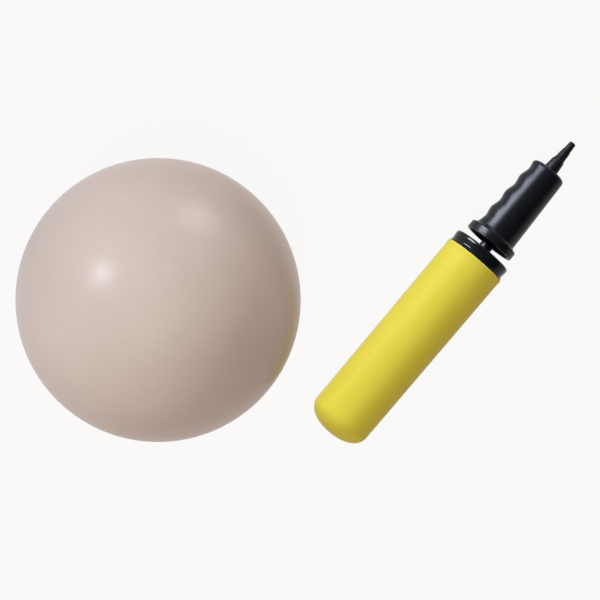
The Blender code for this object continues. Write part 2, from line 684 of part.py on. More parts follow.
def nozzle(parent, material):
    """The stepped blowing nozzle pushed over the spigot: a plain foot, a neck with ring grooves and a blunt tip."""
    foot = HANDLE_TOP + SEAT_GAP
    shoulder = foot + NOZZLE_SHOULDER_HEIGHT
    neck = shoulder + NOZZLE_SHOULDER_SLOPE
    neck_top = neck + NOZZLE_RING_PITCH * NOZZLE_RING_COUNT
    tip_foot = neck_top + NOZZLE_STEP_SLOPE
    tip = tip_foot + NOZZLE_TIP_LENGTH
    seal_room = SEAL_RADIUS + SEAT_GAP
    seal_top = foot + SEAL_THICKNESS + SEAT_GAP
    spigot_room = SPIGOT_RADIUS + SEAT_GAP
    spigot_top = HANDLE_TOP + SPIGOT_LENGTH + SEAT_GAP

    def taper(height):
        return NOZZLE_NECK_RADIUS - NOZZLE_NECK_TAPER * (height - neck) / (neck_top - neck)

    profile = [
        (seal_room, foot),
        (NOZZLE_BASE_RADIUS, foot),
        (NOZZLE_SHOULDER_RADIUS, shoulder),
        (NOZZLE_NECK_RADIUS, neck),
    ]
    for i in range(NOZZLE_RING_COUNT):
        height = neck + NOZZLE_RING_PITCH * (i + 0.5)
        half = NOZZLE_GROOVE_WIDTH / 2
        profile += [
            (taper(height - half), height - half),
            (taper(height) - NOZZLE_GROOVE_DEPTH, height),
            (taper(height + half), height + half),
        ]
    profile += [(taper(neck_top), neck_top), (NOZZLE_TIP_FOOT_RADIUS, tip_foot)]
    profile += arc((NOZZLE_TIP_RADIUS - NOZZLE_TIP_ROUND, tip - NOZZLE_TIP_ROUND), NOZZLE_TIP_ROUND, 0, 90, 3)
    profile += [
        (NOZZLE_BORE_RADIUS, tip),
        (NOZZLE_BORE_RADIUS, spigot_top),
        (spigot_room, spigot_top),
        (spigot_room, seal_top),
        (seal_room, seal_top),
    ]
    return turned("nozzle", profile, parent, material, FINE_FACETS)


def build_ball():
    carrier = frame("ball_frame", ball_frame())
    bpy.context.view_layer.update()
    skin = plastic("taupe_pvc", (0.63, 0.53, 0.47), 0.42)
    stopper = plastic("white_nylon", (0.86, 0.86, 0.84), 0.4)
    ball_skin(carrier, skin)
    valve_grommet(carrier, skin)
    valve_plug(carrier, stopper)


def build_pump():
    carrier = frame("pump_frame", pump_frame())
    yellow = plastic("yellow_polypropylene", (0.80, 0.70, 0.06), 0.36)
    black = plastic("black_plastic", (0.012, 0.012, 0.014), 0.34)
    white = plastic("natural_plastic", (0.78, 0.78, 0.74), 0.45)
    rubber = plastic("black_rubber", (0.015, 0.015, 0.015), 0.7)
    steel = plastic("spring_steel", (0.55, 0.55, 0.57), 0.3)
    steel.node_tree.nodes["Principled BSDF"].inputs["Metallic"].default_value = 1.0
    barrel(carrier, yellow)
    barrel_cap(carrier, black)
    guide_bush(carrier, black)
    piston_rod(carrier, black)
    piston(carrier, white)
    piston_ring(carrier, rubber)
    buffer_ring(carrier, rubber)
    outlet_disc(carrier, rubber)
    outlet_spring(carrier, steel)
    handle_grip(carrier, black)
    nozzle_seal(carrier, rubber)
    nozzle(carrier, black)


clear_scene()
build_ball()
build_pump()
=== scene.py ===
"""The looks of the exercise ball and its hand pump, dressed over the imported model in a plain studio."""

import json
import math

import bmesh
import bpy
from mathutils import Matrix, Vector


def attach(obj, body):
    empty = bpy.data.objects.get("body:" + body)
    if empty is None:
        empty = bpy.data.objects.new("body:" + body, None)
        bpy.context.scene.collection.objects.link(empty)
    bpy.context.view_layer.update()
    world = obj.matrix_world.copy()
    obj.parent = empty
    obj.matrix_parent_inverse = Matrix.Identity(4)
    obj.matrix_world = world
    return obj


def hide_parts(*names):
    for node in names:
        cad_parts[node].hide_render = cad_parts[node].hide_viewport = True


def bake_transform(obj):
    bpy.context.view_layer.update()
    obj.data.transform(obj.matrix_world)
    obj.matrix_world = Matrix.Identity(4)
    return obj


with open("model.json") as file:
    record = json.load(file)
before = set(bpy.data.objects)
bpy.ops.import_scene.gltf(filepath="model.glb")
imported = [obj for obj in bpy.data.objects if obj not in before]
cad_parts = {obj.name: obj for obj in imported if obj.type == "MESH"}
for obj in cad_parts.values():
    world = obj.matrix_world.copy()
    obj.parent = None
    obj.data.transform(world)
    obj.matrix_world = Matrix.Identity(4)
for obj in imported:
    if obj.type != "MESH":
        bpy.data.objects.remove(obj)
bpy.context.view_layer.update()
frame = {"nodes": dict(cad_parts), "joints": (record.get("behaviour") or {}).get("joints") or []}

MM = 0.001
FULL_TURN = 2 * math.pi

# Sizes of the ball in millimetres, as in the part's source, with the scene's own fine detail
BALL_RADIUS = 115.0
BALL_WALL = 1.0
REST_PATCH_RADIUS = 14.0
VALVE_HOLE_RADIUS = 7.0
VALVE_PAD_RADIUS = 17.0
VALVE_PAD_RISE = 0.35
GROMMET_FLANGE_RADIUS = 11.5
GROMMET_FLANGE_THICKNESS = 1.6
GROMMET_LENGTH = 9.0
GROMMET_LIP_ROUND = 0.45
PLUG_HEAD_RADIUS = 5.1
PLUG_HEAD_THICKNESS = 1.3
PLUG_HEAD_ROUND = 0.45
PLUG_CROWN_RADIUS = 0.55 * PLUG_HEAD_RADIUS
PLUG_CROWN_RISE = 0.25
PLUG_DIMPLE_RADIUS = 0.30 * PLUG_HEAD_RADIUS
PLUG_DIMPLE_DEPTH = 0.3
PLUG_STEM_RADIUS = 2.7
PLUG_STEM_LENGTH = 13.0
PLUG_TIP_RADIUS = 0.6 * PLUG_STEM_RADIUS
PLUG_RIB_HEIGHT = 0.25
PLUG_RIB_COUNT = 3
PLUG_BORE_RADIUS = 3.1

# Sizes of the pump in millimetres and radians, heights along its axis from the barrel's domed end
SEAT_GAP = 0.3
BARREL_LENGTH = 196.0
BARREL_FOOT_RADIUS = 27.9
BARREL_TOP_RADIUS = 28.7
BARREL_BORE_RADIUS = 25.6
BARREL_FLOOR = 2.2
DOME_DEPTH = 17.4
DOME_FULLNESS = 2.2
LIP_RADIUS = 29.0
LIP_HEIGHT = 4.0
LIP_ROUND = 0.9
LIP_RUN_OUT = 4.0
LIP_RUN_OUT_ROUND = 12.0
LIP_FOOT_DROP = 0.6
MOUTH_RADIUS = 26.5
MOUTH_DEPTH = 11.0
GATE_RADIUS = 2.4
GATE_DEPTH = 0.35
CAP_TOP = 207.2
CAP_BASE_RADIUS = 27.35
CAP_FOOT_FLARE = 0.9
CAP_FOOT_ROUND = 0.25
CAP_WAIST = 0.2
CAP_WAIST_HEIGHT = 2.4
CAP_WAIST_ROUND = 4.0
CAP_RIM_RADIUS = 27.75
CAP_RIM_HEIGHT = 2.9
CAP_RIM_FOOT_ROUND = 1.6
CAP_RIM_ROUND = 1.7
CAP_RIM_WIDTH = 2.6
CAP_DISH_DEPTH = 4.0
CAP_DISH_SLOPE = 1.1
CAP_WEB = 2.2
CAP_SKIRT_DEPTH = 10.0
CAP_SKIRT_WALL = 2.0
CAP_TUBE_RADIUS = 9.05
CAP_TUBE_WALL = 2.0
CAP_TUBE_DEPTH = 14.0
CAP_BOSS_RISE = 1.4
VENT_COUNT = 4
VENT_RADIUS = 1.8
VENT_DRILL_LENGTH = 4 * CAP_WEB
BUSH_BORE_RADIUS = 6.15
BUSH_RADIUS = 8.75
BUSH_FLANGE_RADIUS = 10.75
BUSH_FLANGE_THICKNESS = 1.3
BUSH_LIP_WIDTH = 0.9
BUSH_LIP_HEIGHT = 1.7
BUSH_LIP_ROUND = 0.15
ROD_RADIUS = 6.0
ROD_BORE_RADIUS = 4.0
ROD_FOOT = 41.6
SPRING_WIRE = 0.6
SPRING_RADIUS = 4.4
SPRING_LENGTH = 7.2
SPRING_TURNS = 4.0
HANDLE_FOOT = 214.8
HANDLE_LENGTH = 83.2
HANDLE_WALL = 2.6
HANDLE_TOP_WALL = 4.0
HANDLE_TOP_ROUND = 3.4
HANDLE_TOP_CROWN = 1.2
CROWN_EDGE_DROP = 0.15
CROWN_FLAT_WIDTH = 5.0
CROWN_ROUND = 6.0
FLANGE_RADIUS = 23.6
FLANGE_HEIGHT = 7.6
FLANGE_ROUND = 1.1
NECK_FILLET = 3.6
GRIP_BASE_RADIUS = 19.2
GRIP_TOP_RADIUS = 15.9
FINGER_PITCH = 18.6
FIRST_FINGER = 16.9
FINGER_RIDGE = 1.6
FINGER_SINK = 0.9
FINGER_REACH = math.radians(62.0)
FINGER_START_GAP = 0.02
SOCKET_RADIUS = 6.3
SOCKET_WALL = 2.4
SOCKET_DEPTH = 44.0
RIB_COUNT = 4
RIB_THICKNESS = 1.8
RIB_SETBACK = 12.0
SPIGOT_RADIUS = 4.3
SPIGOT_LENGTH = 7.5
AIR_PASSAGE_RADIUS = 2.2
NOZZLE_BASE_RADIUS = 6.65
NOZZLE_FOOT_ROUND = 0.25
NOZZLE_SHOULDER_RADIUS = 5.6
NOZZLE_SHOULDER_HEIGHT = 10.0
NOZZLE_SHOULDER_SLOPE = 2.4
NOZZLE_SHOULDER_ROUND = 2.0
NOZZLE_NECK_RADIUS = 4.6
NOZZLE_NECK_TAPER = 0.6
NOZZLE_NECK_ROUND = 1.2
NOZZLE_STEP_SLOPE = 1.8
NOZZLE_TIP_LENGTH = 8.2
NOZZLE_TIP_FOOT_RADIUS = 3.45
NOZZLE_TIP_RADIUS = 2.9
NOZZLE_TIP_ROUND = 1.2
NOZZLE_BORE_RADIUS = 1.5
NOZZLE_RING_COUNT = 3
NOZZLE_RING_PITCH = 2.7
NOZZLE_GROOVE_WIDTH = 0.8
NOZZLE_GROOVE_DEPTH = 0.35
NOZZLE_GROOVE_EDGE = 0.25
NOZZLE_GROOVE_ROUND = 0.15
SEAL_THICKNESS = 1.4
SEAL_RADIUS = 5.75
HANDLE_TOP = HANDLE_FOOT + HANDLE_LENGTH
SOCKET_TOP = HANDLE_TOP - HANDLE_TOP_WALL

# Rounds of small edges in millimetres, from the keenest to the softest
SHARP_EDGE = 0.1
CRISP_EDGE = 0.2
FINE_EDGE = 0.3
EASED_EDGE = 0.4
SOFT_EDGE = 0.5
FULL_EDGE = 0.6
WIDE_EDGE = 0.8
BROAD_EDGE = 1.0

# Facets round a full turn, steps along curves, and rows along straight stretches
BALL_FACETS = 192
BODY_FACETS = 128
SMALL_FACETS = 64
VENT_FACETS = 24
WIRE_FACETS = 12
COIL_STEPS = 40
ROUND_STEPS = 5
SMALL_ROUND_STEPS = 4
HANDLE_ROUND_STEPS = 8
DOME_STEPS = 40
INNER_DOME_STEPS = 16
BARREL_ROWS = 24
GRIP_ROWS = 96

# Points closer than these, in millimetres, are merged after a profile is spun and after vents are cut
SAME_POINT = 0.0001
SLIVER = 0.005

# Edges that turn by more than this stay sharp in the shading
SHARP_ANGLE = math.radians(38)

# Studio, in metres and watts. WALL_TOP is the band of rise over which the walls turn into the ceiling
CAMERA_X = 0.1144
CAMERA_HEIGHT = 1.334
CAMERA_LENS = 90.0
SENSOR_WIDTH = 36.0
BALL_LIGHT_AT = Vector((-1.112, 0.579, 1.407))
BALL_LIGHT_SIZE = (0.235, 0.235)
BALL_LIGHT_POWER = 17.0
PUMP_LIGHT_AT = Vector((-0.612, 1.125, 0.822))
BARREL_LIGHT_SIZE = (1.00, 0.30)
BARREL_LIGHT_POWER = 15.5
SIDE_COLOUR = (0.89, 1.0, 1.10)
HANDLE_LIGHT_SIZE = (0.92, 0.30)
HANDLE_LIGHT_POWER = 54.0
HANDLE_LIGHT_COLOUR = (0.90, 0.96, 1.14)
FRONT_AT = Vector((-0.15, -0.65, 1.75))
FRONT_SIZE = (1.2, 1.2)
FRONT_POWER = 17.2
FRONT_COLOUR = (1.03, 1.0, 0.94)
BACK_AT = Vector((0.654, 1.397, 0.50))
BACK_SIZE = (0.60, 0.60)
BACK_POWER = 9.6
BACK_COLOUR = (0.97, 1.0, 1.02)
WHITE = (1.0, 1.0, 1.0, 1.0)
AMBIENT = 0.12
AMBIENT_COLOUR = (1.0, 0.60, 0.45, 1.0)
WALL_TOP = (0.06, 0.22)
CEILING = 0.04
FLOOR_SIZE = 24.0
FLOOR_COLOUR = (0.78, 0.60, 0.50, 1.0)
FLOOR_ROUGHNESS = 0.9
FLOOR_WHITENING = 0.92


def joint(name):
    return next(j for j in frame["joints"] if j["name"] == name)


def standing_frame(origin, along):
    """A frame whose +Z runs along a direction, with +X level."""
    along = Vector(along).normalized()
    side = Vector((along.y, -along.x, 0.0)).normalized()
    turn = Matrix((side, along.cross(side), along)).transposed().to_4x4()
    return Matrix.Translation(origin) @ turn


def pump_frame():
    """The barrel's domed end, with +Z along the pump."""
    along = Vector(joint("plunger_slide")["axis"]).normalized()
    mouth = Vector(joint("plunger_turn")["pos_m"])
    return standing_frame(mouth - along * BARREL_LENGTH * MM, along)


def ball_frame():
    """The ball's centre, with +Z out through its valve."""
    height = math.sqrt(BALL_RADIUS**2 - REST_PATCH_RADIUS**2)
    return standing_frame(Vector((0, 0, height * MM)), joint("plug_pull")["axis"])


PUMP = pump_frame()
BALL = ball_frame()


class Term:
    """A node's output that takes part in arithmetic."""

    def __init__(self, nodes, socket):
        self.nodes = nodes
        self.socket = socket

    def beside(self, output):
        """Another output of the same node."""
        return Term(self.nodes, self.socket.node.outputs[output])

    def maths(self, operation, first, second=0.0):
        return self.nodes.node("ShaderNodeMath", {"operation": operation}, {0: first, 1: second})

    def __add__(self, other):
        return self.maths("ADD", self, other)

    def __radd__(self, other):
        return self.maths("ADD", other, self)

    def __sub__(self, other):
        return self.maths("SUBTRACT", self, other)

    def __rsub__(self, other):
        return self.maths("SUBTRACT", other, self)

    def __mul__(self, other):
        return self.maths("MULTIPLY", self, other)

    def __rmul__(self, other):
        return self.maths("MULTIPLY", other, self)

    def __truediv__(self, other):
        return self.maths("DIVIDE", self, other)

    def __rtruediv__(self, other):
        return self.maths("DIVIDE", other, self)

    def __pow__(self, other):
        return self.maths("POWER", self, other)

    def __rpow__(self, other):
        return self.maths("POWER", other, self)

    def __gt__(self, other):
        return self.maths("GREATER_THAN", self, other)

    def __lt__(self, other):
        return self.maths("LESS_THAN", self, other)

    def cosine(self):
        return self.maths("COSINE", self)

    def root(self):
        return self.maths("SQRT", self)

    def size(self):
        return self.maths("ABSOLUTE", self)

    def least(self, other):
        return self.maths("MINIMUM", self, other)

    def most(self, other):
        return self.maths("MAXIMUM", self, other)

    def angle_with(self, other):
        return self.maths("ARCTAN2", self, other)


class Nodes:
    """A node tree, with one method that adds any node."""

    def __init__(self, tree):
        self.tree = tree

    def node(self, kind, settings=None, values=None, output=0):
        """Adds a node and gives the chosen output, or nothing for a node that has none."""
        made = self.tree.nodes.new(kind)
        for name, value in (settings or {}).items():
            setattr(made, name, value)
        for name, value in (values or {}).items():
            self.feed(made.inputs[name], value)
        return Term(self, made.outputs[output]) if made.outputs else None

    def feed(self, socket, value):
        """Links a term, or each term of a list, to a socket, or sets a plain value on it."""
        if isinstance(value, list):
            for term in value:
                self.feed(socket, term)
        elif isinstance(value, Term):
            self.tree.links.new(value.socket, socket)
        else:
            socket.default_value = value

    def ramp(self, factor, low, high, start=0.0, end=1.0):
        """The start value below low, the end value above high, smooth between."""
        values = {"Value": factor, "From Min": low, "From Max": high, "To Min": start, "To Max": end}
        return self.node("ShaderNodeMapRange", {"interpolation_type": "SMOOTHSTEP"}, values)

    def mix(self, share, first, second):
        """A colour between two others."""
        return self.node("ShaderNodeMix", {"data_type": "RGBA"}, {0: share, 6: first, 7: second}, output=2)


class Finish(Nodes):
    """A material on a Principled shader."""

    def __init__(self, name):
        self.material = bpy.data.materials.new(name)
        self.material.use_nodes = True
        super().__init__(self.material.node_tree)
        self.shader = self.tree.nodes["Principled BSDF"]

    def set(self, **values):
        """Sets the shader's sockets by their names, such as base_color."""
        for name, value in values.items():
            socket = name.replace("_", " ").title().replace("Ior", "IOR")
            self.feed(self.shader.inputs[socket], value)

    def place(self, of=None):
        """Object coordinates, or a piece's own ones where its frame is given."""
        where = self.node("ShaderNodeTexCoord", output="Object")
        if of is None:
            return where
        turned = {"Vector": where, "Location": of.translation, "Rotation": of.to_euler()}
        return self.node("ShaderNodeMapping", {"vector_type": "TEXTURE"}, turned)

    def stretched(self, where, scale):
        return self.node("ShaderNodeMapping", {"vector_type": "POINT"}, {"Vector": where, "Scale": scale})

    def noise(self, where, per_metre, detail=2.0, roughness=0.5):
        values = {"Vector": where, "Scale": per_metre, "Detail": detail, "Roughness": roughness}
        return self.node("ShaderNodeTexNoise", {"noise_dimensions": "3D"}, values)

    def scratches(self, where, stretch, per_metre, low, high):
        """Thin long marks: noise that is stretched along an axis, kept where it peaks."""
        marks = self.noise(self.stretched(where, stretch), per_metre, detail=3.0, roughness=0.6)
        return self.ramp(marks, low, high)

    def bump(self, height, strength, distance):
        values = {"Height": height, "Strength": strength, "Distance": distance}
        return self.node("ShaderNodeBump", {}, values)


def tone(red, green, blue):
    return (red, green, blue, 1.0)


def ball_vinyl():
    """Soft taupe vinyl with a fine satin grain."""
    finish = Finish("taupe_vinyl")
    where = finish.place()
    broad = finish.noise(where, per_metre=14.0, detail=3.0)
    cloud = finish.noise(where, per_metre=90.0, detail=4.0)
    grain = finish.noise(where, per_metre=2600.0)
    share = finish.ramp(broad * 0.7 + cloud * 0.3, 0.3, 0.7)
    finish.set(
        base_color=finish.mix(share, tone(0.598, 0.495, 0.448), tone(0.628, 0.522, 0.474)),
        roughness=0.28 + cloud * 0.05 + grain * 0.04,
        normal=finish.bump(grain, strength=0.12, distance=0.00006),
        specular_ior_level=0.20,
    )
    return finish.material


def barrel_yellow():
    """Satin yellow polypropylene with faint flow marks and fine scratches along the tube."""
    finish = Finish("yellow_polypropylene")
    where = finish.place(PUMP)
    flow = finish.noise(finish.stretched(where, (1.0, 1.0, 0.12)), per_metre=130.0, detail=4.0)
    cloud = finish.noise(where, per_metre=30.0, detail=3.0)
    grain = finish.noise(where, per_metre=3200.0)
    marks = finish.scratches(where, (1.0, 1.0, 0.03), per_metre=900.0, low=0.66, high=0.76)
    share = finish.ramp(flow * 0.6 + cloud * 0.4, 0.3, 0.7)
    colour = finish.mix(share, tone(0.735, 0.640, 0.060), tone(0.770, 0.675, 0.073))
    height = grain * 0.5 + flow * 0.5 - marks * 0.4
    finish.set(
        base_color=finish.mix(marks * 0.20, colour, tone(0.80, 0.72, 0.16)),
        roughness=0.40 + cloud * 0.08 + marks * 0.12,
        normal=finish.bump(height, strength=0.14, distance=0.00008),
        specular_ior_level=0.15,
    )
    return finish.material


def black_plastic(name, roughness, grain_strength, wear):
    """Black moulded plastic, with the given gloss, grain and greying of its scratches."""
    finish = Finish(name)
    where = finish.place(PUMP)
    cloud = finish.noise(where, per_metre=45.0, detail=3.0)
    grain = finish.noise(where, per_metre=2400.0)
    marks = finish.scratches(where, (1.0, 1.0, 0.05), per_metre=700.0, low=0.66, high=0.78)
    colour = finish.mix(marks * wear, tone(0.0044, 0.0047, 0.0060), tone(0.020, 0.020, 0.022))
    share = finish.ramp(cloud, 0.35, 0.75) * 0.35
    finish.set(
        base_color=finish.mix(share, colour, tone(0.0060, 0.0063, 0.0076)),
        roughness=roughness + cloud * 0.08 + marks * 0.10,
        normal=finish.bump(grain - marks * 0.2, grain_strength, distance=0.00008),
        specular_ior_level=0.14,
    )
    return finish.material


def plain_moulding(name, dark, light, roughness, metallic=0.0):
    """An inner or small piece: slight clouding and a fine grain."""
    finish = Finish(name)
    where = finish.place()
    cloud = finish.noise(where, per_metre=160.0, detail=4.0)
    grain = finish.noise(where, per_metre=3000.0)
    finish.set(
        base_color=finish.mix(finish.ramp(cloud, 0.3, 0.7), dark, light),
        roughness=roughness + cloud * 0.1,
        normal=finish.bump(grain, strength=0.15, distance=0.00006),
        metallic=metallic,
    )
    return finish.material


def evenly(start, end, count):
    """Values from start to end in equal steps."""
    return [start + (end - start) * i / count for i in range(count + 1)]


def rounded(corners, steps=ROUND_STEPS):
    """A profile of (r, z) points from corners of (r, z, radius): a corner with a radius becomes an arc."""
    points = []
    for i, corner in enumerate(corners):
        here = Vector(corner[:2])
        radius = corner[2] if len(corner) > 2 else 0.0
        if radius <= 0.0:
            points.append(tuple(here))
            continue
        before = (Vector(corners[i - 1][:2]) - here).normalized()
        after = (Vector(corners[(i + 1) % len(corners)][:2]) - here).normalized()
        half = before.angle(after) / 2
        centre = here + (before + after).normalized() * radius / math.sin(half)
        start = here + before * radius / math.tan(half) - centre
        sweep = (here + after * radius / math.tan(half) - centre).angle_signed(start)
        for turn in evenly(0.0, sweep, steps):
            points.append(tuple(centre + Matrix.Rotation(turn, 2) @ start))
    return points


def spun(profile, facets):
    """A closed (r, z) profile turned about Z. A profile that starts and ends on the axis stays open there."""
    mesh = bmesh.new()
    line = [mesh.verts.new((r * MM, 0.0, z * MM)) for r, z in profile]
    edges = [mesh.edges.new(pair) for pair in zip(line, line[1:])]
    if profile[0][0] > 0 or profile[-1][0] > 0:
        edges.append(mesh.edges.new((line[-1], line[0])))
    bmesh.ops.spin(
        mesh,
        geom=line + edges,
        axis=(0, 0, 1),
        cent=(0, 0, 0),
        angle=FULL_TURN,
        steps=facets,
        use_merge=True,
    )
    bmesh.ops.remove_doubles(mesh, verts=mesh.verts[:], dist=SAME_POINT * MM)
    bmesh.ops.dissolve_degenerate(mesh, edges=mesh.edges[:], dist=SAME_POINT * MM)
    bmesh.ops.recalc_face_normals(mesh, faces=mesh.faces[:])
    return mesh


def mesh_object(name, mesh):
    data = bpy.data.meshes.new(name)
    mesh.to_mesh(data)
    mesh.free()
    made = bpy.data.objects.new(name, data)
    bpy.context.scene.collection.objects.link(made)
    return made


def paint(data, material):
    data.materials.clear()
    data.materials.append(material)


def settle(made, place, material, node, body):
    """Puts a finished piece in its place, gives it its finish and lets it stand for its node."""
    made.data.transform(place)
    made.data.shade_smooth()
    made.data.set_sharp_from_angle(angle=SHARP_ANGLE)
    paint(made.data, material)
    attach(made, body)
    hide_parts(node)
    return made


def in_metres(sizes):
    return {name: value * MM for name, value in sizes.items()}


def grown(made, tree, inputs):
    """Runs a Geometry Nodes tree on an object and keeps the result as a plain mesh."""
    modifier = made.modifiers.new(tree.name, "NODES")
    modifier.node_group = tree
    for item in tree.interface.items_tree:
        if item.in_out == "INPUT" and item.name in inputs:
            modifier[item.identifier] = inputs[item.name]
    bpy.context.view_layer.update()
    graph = bpy.context.evaluated_depsgraph_get()
    result = bpy.data.meshes.new_from_object(made.evaluated_get(graph), depsgraph=graph)
    made.modifiers.remove(modifier)
    made.data = result


def geometry_tree(name, floats, counts=()):
    """A Geometry Nodes tree with a geometry input, named sizes, a material and a geometry output."""
    tree = bpy.data.node_groups.new(name, "GeometryNodeTree")
    inputs = [("Geometry", "Geometry")]
    inputs += [(label, "Float") for label in floats]
    inputs += [(label, "Int") for label in counts]
    inputs += [("Material", "Material")]
    for label, kind in inputs:
        tree.interface.new_socket(label, in_out="INPUT", socket_type="NodeSocket" + kind)
    tree.interface.new_socket("Geometry", in_out="OUTPUT", socket_type="NodeSocketGeometry")
    nodes = Nodes(tree)
    first = nodes.node("NodeGroupInput")
    return tree, nodes, {label: first.beside(label) for label, kind in inputs}


def finish_tree(nodes, geometry, material):
    """Ends a tree: real geometry with its material set."""
    real = nodes.node("GeometryNodeRealizeInstances", {}, {"Geometry": geometry})
    painted = nodes.node("GeometryNodeSetMaterial", {}, {"Geometry": real, "Material": material})
    nodes.node("NodeGroupOutput", {}, {"Geometry": painted})


def moved(nodes, geometry, x, z):
    shift = nodes.node("ShaderNodeCombineXYZ", {}, {"X": x, "Z": z})
    return nodes.node("GeometryNodeTransform", {}, {"Geometry": geometry, "Translation": shift})


def round_the_axis(nodes, shape, count):
    """Copies of a shape at equal angles about Z, half a step off +X."""
    points = nodes.node("GeometryNodeMeshLine", {"mode": "OFFSET"}, {"Count": count, "Offset": (0, 0, 0)})
    index = nodes.node("GeometryNodeInputIndex")
    angle = (index + 0.5) * FULL_TURN / count
    turn = nodes.node("ShaderNodeCombineXYZ", {}, {"Z": angle})
    rotation = nodes.node("FunctionNodeEulerToRotation", {}, {"Euler": turn})
    values = {"Points": points, "Instance": shape, "Rotation": rotation}
    return nodes.node("GeometryNodeInstanceOnPoints", {}, values)


def finger_rise(nodes, given):
    """The outward move of each point of a turned grip that forms finger ridges on its -X side."""
    position = nodes.node("GeometryNodeInputPosition")
    x = nodes.node("ShaderNodeSeparateXYZ", {}, {"Vector": position}, output="X")
    y, z = x.beside("Y"), x.beside("Z")
    radius = (x * x + y * y).root()
    spread = (y.angle_with(0.0 - x).size() / given["Reach"]).least(1.0)
    window = (spread * (math.pi / 2)).cosine() ** 2.0
    phase = (z - given["First groove"]) / given["Pitch"]
    wave = 0.5 - (phase * FULL_TURN).cosine() * 0.5
    edge = (radius - given["Top radius"] + given["Top round"]) / given["Top round"]
    fade = edge.most(0.0).least(1.0)
    outside = (radius > given["Top radius"] - given["Top round"]) * (z > given["Flange top"])
    rise = (given["Ridge"] * wave - given["Sink"]) * window * fade * outside
    level = nodes.node("ShaderNodeCombineXYZ", {}, {"X": x, "Y": y})
    outward = nodes.node("ShaderNodeVectorMath", {"operation": "NORMALIZE"}, {0: level})
    return nodes.node("ShaderNodeVectorMath", {"operation": "SCALE"}, {0: outward, "Scale": rise})


def finger_tree():
    """Raises finger ridges on one side of a turned grip, and stands thin ribs inside it."""
    floats = (
        "Ridge", "Sink", "Pitch", "First groove", "Reach", "Top round", "Top radius", "Flange top",
        "Rib inner", "Rib outer", "Rib foot", "Rib top", "Rib thickness",
    )
    tree, nodes, given = geometry_tree("grip_with_fingers", floats, ("Rib count",))
    ridges = {"Geometry": given["Geometry"], "Offset": finger_rise(nodes, given)}
    shaped = nodes.node("GeometryNodeSetPosition", {}, ridges)
    width = given["Rib outer"] - given["Rib inner"]
    height = given["Rib top"] - given["Rib foot"]
    sides = {"X": width, "Y": given["Rib thickness"], "Z": height}
    size = nodes.node("ShaderNodeCombineXYZ", {}, sides)
    cube = nodes.node("GeometryNodeMeshCube", {}, {"Size": size})
    middle = (given["Rib outer"] + given["Rib inner"]) * 0.5
    centre = (given["Rib top"] + given["Rib foot"]) * 0.5
    ribs = round_the_axis(nodes, moved(nodes, cube, middle, centre), given["Rib count"])
    joined = nodes.node("GeometryNodeJoinGeometry", {}, {"Geometry": [shaped, ribs]})
    finish_tree(nodes, joined, given["Material"])
    return tree


def vent_tree():
    """Cuts round vents through a turned cap, evenly about its axis."""
    tree, nodes, given = geometry_tree("vented_cap", ("Radius", "Circle", "Height", "Depth"), ("Count",))
    values = {"Vertices": VENT_FACETS, "Radius": given["Radius"], "Depth": given["Depth"]}
    drill = nodes.node("GeometryNodeMeshCylinder", {}, values)
    placed = moved(nodes, drill, given["Circle"], given["Height"])
    copies = {"Geometry": round_the_axis(nodes, placed, given["Count"])}
    drills = nodes.node("GeometryNodeRealizeInstances", {}, copies)
    settings = {"operation": "DIFFERENCE", "solver": "EXACT"}
    meshes = {"Mesh 1": given["Geometry"], "Mesh 2": drills}
    cut = nodes.node("GeometryNodeMeshBoolean", settings, meshes)
    clean = nodes.node("GeometryNodeMergeByDistance", {}, {"Geometry": cut, "Distance": SLIVER * MM})
    finish_tree(nodes, clean, given["Material"])
    return tree


def coil_tree():
    """Winds a round wire into an even coil."""
    tree, nodes, given = geometry_tree("wire_coil", ("Radius", "Height", "Wire radius", "Turns"))
    path = {
        "Resolution": COIL_STEPS,
        "Rotations": given["Turns"],
        "Start Radius": given["Radius"],
        "End Radius": given["Radius"],
        "Height": given["Height"],
    }
    line = nodes.node("GeometryNodeCurveSpiral", {}, path)
    section = {"Resolution": WIRE_FACETS, "Radius": given["Wire radius"]}
    circle = nodes.node("GeometryNodeCurvePrimitiveCircle", {"mode": "RADIUS"}, section)
    values = {"Curve": line, "Profile Curve": circle, "Fill Caps": True}
    finish_tree(nodes, nodes.node("GeometryNodeCurveToMesh", {}, values), given["Material"])
    return tree


def face_height():
    """How far the valve's face lies from the ball's centre."""
    return math.sqrt(BALL_RADIUS**2 - VALVE_HOLE_RADIUS**2)


def ball_skin(material):
    """The blown skin: round, slightly thicker about the valve, and pressed flat where it rests."""
    rows = BALL_FACETS // 2
    outside = []
    for angle in evenly(math.asin(VALVE_HOLE_RADIUS / BALL_RADIUS), math.pi, rows):
        share = max(0.0, 1.0 - BALL_RADIUS * angle / VALVE_PAD_RADIUS)
        radius = BALL_RADIUS + VALVE_PAD_RISE * share * share * (3 - 2 * share)
        outside.append((radius * math.sin(angle), radius * math.cos(angle)))
    outside[-1] = (0.0, -BALL_RADIUS)
    inner = BALL_RADIUS - BALL_WALL
    angles = evenly(math.pi, math.asin(VALVE_HOLE_RADIUS / inner), rows // 3)
    inside = [(inner * math.sin(angle), inner * math.cos(angle)) for angle in angles]
    inside[0] = (0.0, -inner)
    mesh = spun(inside + outside, BALL_FACETS)
    up = BALL.inverted().to_3x3() @ Vector((0, 0, 1))
    for point in mesh.verts:
        lowest = BALL_WALL if point.co.length < (inner + BALL_WALL / 2) * MM else 0.0
        point.co += up * max(0.0, lowest * MM - (BALL @ point.co).z)
    made = mesh_object("ball", mesh)
    settle(made, BALL, material, "ball_skin", "set")
    return made


